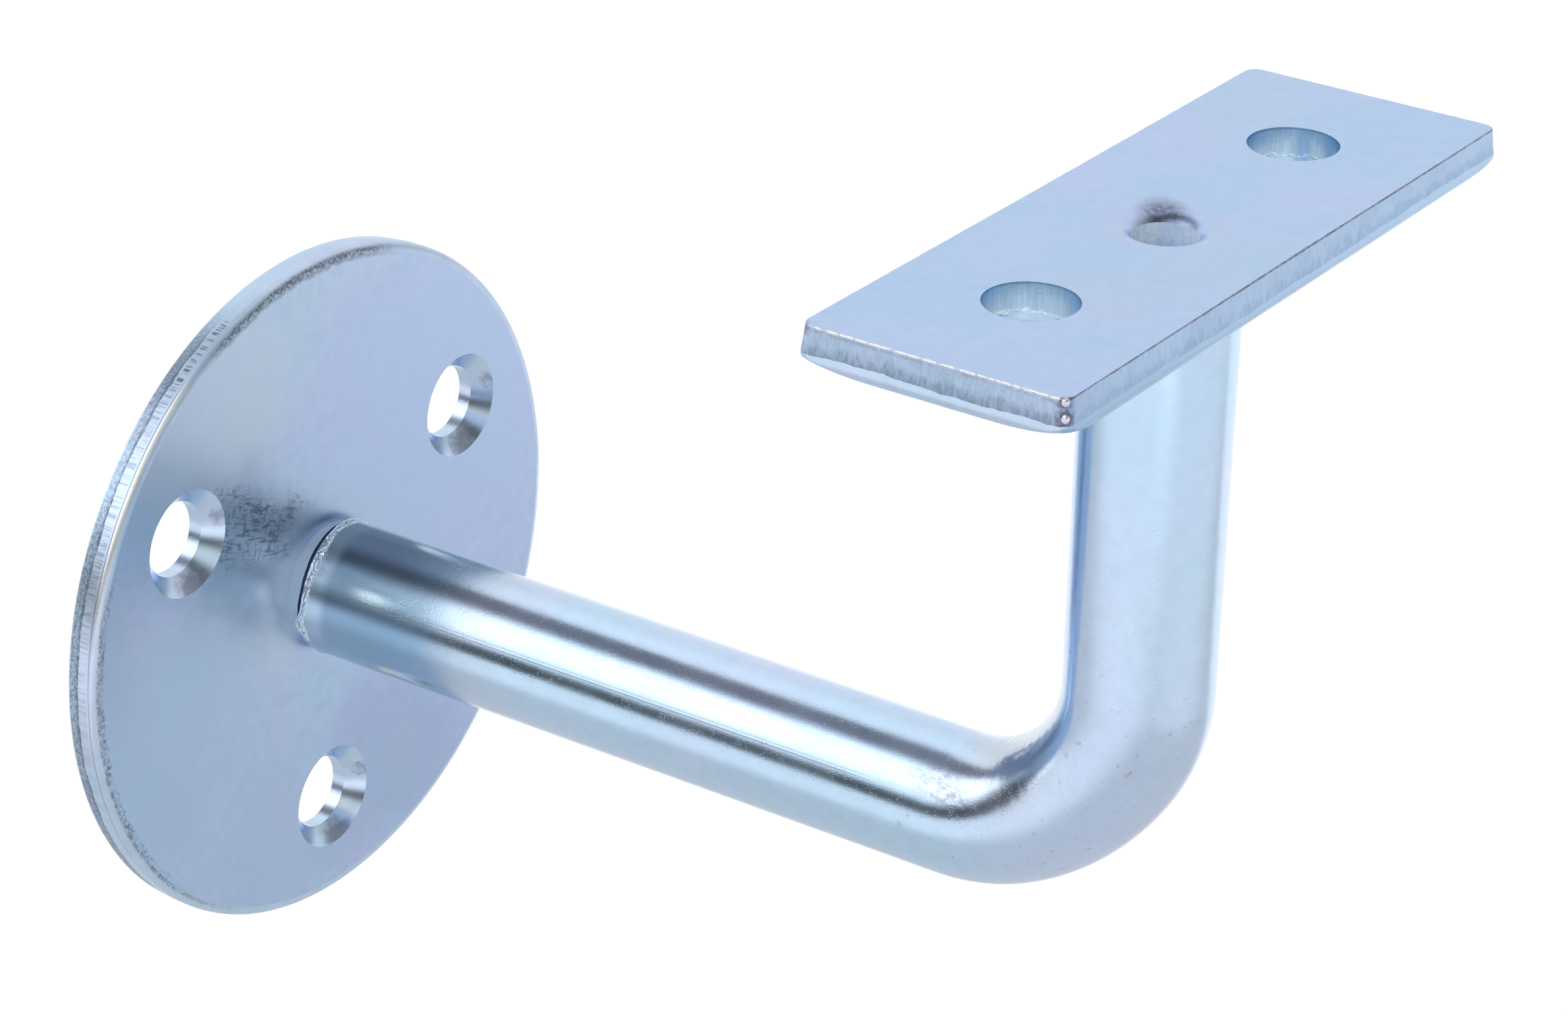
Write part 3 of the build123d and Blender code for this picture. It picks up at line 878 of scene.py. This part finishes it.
# Painted shade: the crevice under the lip is a near-black blue.
crevice_shade_zinc = zinc("weld crevice painted shade", (0.11, 0.16, 0.28), (0.13, 0.16, 0.29), (0.12, 0.16, 0.25),
                    dark=(0.05, 0.06, 0.10), roughness=0.5)
foot_zinc = zinc("weld foot", (0.55, 0.69, 0.87), (0.52, 0.66, 0.84), (0.53, 0.67, 0.82), roughness=0.5,
                 grain=0.008, metallic=0.4)
flash_zinc = zinc("weld flash", (0.58, 0.74, 0.92), (0.62, 0.74, 0.93), (0.60, 0.72, 0.86), roughness=0.22,
                  grain=0.012, specks=0.02, metallic=0.9)
flash("wall_weld_seen", "wall_weld", Vector((0, plate_front, 0)), Vector((0, -1, 0)), 1.0)
flash("rail_weld_seen", "rail_weld", Vector((0, upright_y, plate_base)), Vector((0, 0, -1)), 5.0)

# Floor: a pale even table well below the bracket. It glows by itself, so it shows no shadow, and a little more
# to the left, in front and towards the back, where the bracket's bright edges mirror it.

floor_size = 7.0
floor_height = -0.3
ahead_east, ahead_north = 0.83, 0.557
floor_glow = 0.68
behind_glow = 0.40
left_glow = 0.34
before_glow = 0.24
bpy.ops.mesh.primitive_plane_add(size=floor_size, location=(0, 0, floor_height))
floor = bpy.context.object
floor.name = "floor"
table = Coat("pale table")
table.nodes.remove(table.shader)
glow = table.nodes.new("ShaderNodeEmission")
where = table.nodes.new("ShaderNodeSeparateXYZ")
table.put(where.inputs[0], table.place)
floor_x, floor_y = where.outputs["X"], where.outputs["Y"]
depth_x, depth_y = table.maths("MULTIPLY", floor_x, ahead_east), table.maths("MULTIPLY", floor_y, ahead_north)
behind = table.fade(table.maths("ADD", depth_x, depth_y), 0.20, 0.37, 0.0, behind_glow)
left = table.fade(floor_x, -0.62, -0.32, left_glow, 0.0)
before = table.fade(floor_y, -0.75, -0.45, before_glow, 0.0)
extra = table.maths("ADD", table.maths("ADD", behind, left), before)
table.put(glow.inputs["Strength"], table.maths("ADD", extra, floor_glow))
table.put(table.nodes["Material Output"].inputs["Surface"], glow.outputs[0])
floor.data.materials.append(table.material)

# Light: a white tent round the bracket, with one broad soft panel to the left and dark gaps beside it that run
# along the arm, so the round bar shows them as long streaks. The horizon is dark except behind the bracket.

horizon_height = 0.075
horizon_width = 0.17
horizon_slope = 13.0
horizon_depth = 0.88
world = bpy.data.worlds.new("light tent")
bpy.context.scene.world = world
world.use_nodes = True
nodes, links = world.node_tree.nodes, world.node_tree.links


def sky(operation, a, b):
    """One step of arithmetic on the direction that the light comes from."""
    m = nodes.new("ShaderNodeMath")
    m.operation = operation
    for socket, v in zip(m.inputs, (a, b)):
        if isinstance(v, bpy.types.NodeSocket):
            links.new(v, socket)
        else:
            socket.default_value = v
    return m.outputs[0]


def clipped(value):
    return sky("MINIMUM", 1.0, sky("MAXIMUM", 0.0, value))


direction = nodes.new("ShaderNodeTexCoord")
split = nodes.new("ShaderNodeSeparateXYZ")
links.new(direction.outputs["Generated"], split.inputs[0])
east, north, high = split.outputs
turn = sky("DIVIDE", sky("ADD", sky("ARCTAN2", high, east), pi), 2 * pi)
tent = nodes.new("ShaderNodeValToRGB")
tent.color_ramp.interpolation = "EASE"
stops = [(-180.0, 0.75), (-140.0, 0.66), (-40.0, 0.8), (-10.0, 0.95), (30.0, 0.92), (66.0, 1.08), (74.0, 1.0),
         (83.0, 0.23), (101.0, 0.23), (121.0, 1.8), (151.0, 1.8), (153.5, 0.7), (156.0, 1.5), (167.0, 0.6)]
ramp = tent.color_ramp
while len(ramp.elements) > 1:
    ramp.elements.remove(ramp.elements[-1])
ramp.elements[0].position = 0.0
ramp.elements[0].color = (stops[0][1],) * 3 + (1.0,)
for degrees_round, level in stops[1:]:
    e = ramp.elements.new((degrees_round + 180.0) / 360.0)
    e.color = (level, level * (0.9 if level < 0.3 else 1.0), level, 1.0)
links.new(turn, tent.inputs["Fac"])
ahead = sky("ADD", sky("MULTIPLY", east, ahead_east), sky("MULTIPLY", north, ahead_north))
open_side = clipped(sky("MULTIPLY", sky("SUBTRACT", 0.52, ahead), 4.0))
off_band = sky("ABSOLUTE", sky("SUBTRACT", high, horizon_height), 0.0)
on_band = clipped(sky("MULTIPLY", sky("SUBTRACT", horizon_width, off_band), horizon_slope))
shade = sky("SUBTRACT", 1.0, sky("MULTIPLY", sky("MULTIPLY", on_band, open_side), horizon_depth))
front = clipped(sky("MULTIPLY", sky("SUBTRACT", -0.15, north), 2.2))
warmer = nodes.new("ShaderNodeMix")
warmer.data_type = "RGBA"
warmer.blend_type = "MULTIPLY"
warmer.inputs[7].default_value = (0.50, 0.50, 0.46, 1.0)
links.new(front, warmer.inputs[0])
links.new(tent.outputs["Color"], warmer.inputs[6])
links.new(warmer.outputs[2], nodes["Background"].inputs["Color"])
links.new(shade, nodes["Background"].inputs["Strength"])

# Camera: a moderately long lens that looks from the left, the front and above, at the photo's angle. Its place
# and its three directions come from the fit of the bracket's sizes to the photo.

eye = Vector((-0.320564, -0.274416, 0.211846))
right = Vector((0.565446, -0.824525, 0.02071))
upward = Vector((0.349037, 0.261963, 0.899749))
back = -Vector((0.747291, 0.501531, -0.435915))
lens = bpy.data.cameras.new("camera")
lens.lens = 104.27
lens.sensor_width = 36.0
lens.clip_start, lens.clip_end = 0.01, 20.0
camera = bpy.data.objects.new("camera", lens)
bpy.context.scene.collection.objects.link(camera)
camera.matrix_world = Matrix(
    (
        (right.x, upward.x, back.x, eye.x),
        (right.y, upward.y, back.y, eye.y),
        (right.z, upward.z, back.z, eye.z),
        (0, 0, 0, 1),
    )
)
bpy.context.scene.camera = camera
bpy.context.scene.view_settings.view_transform = "Standard"
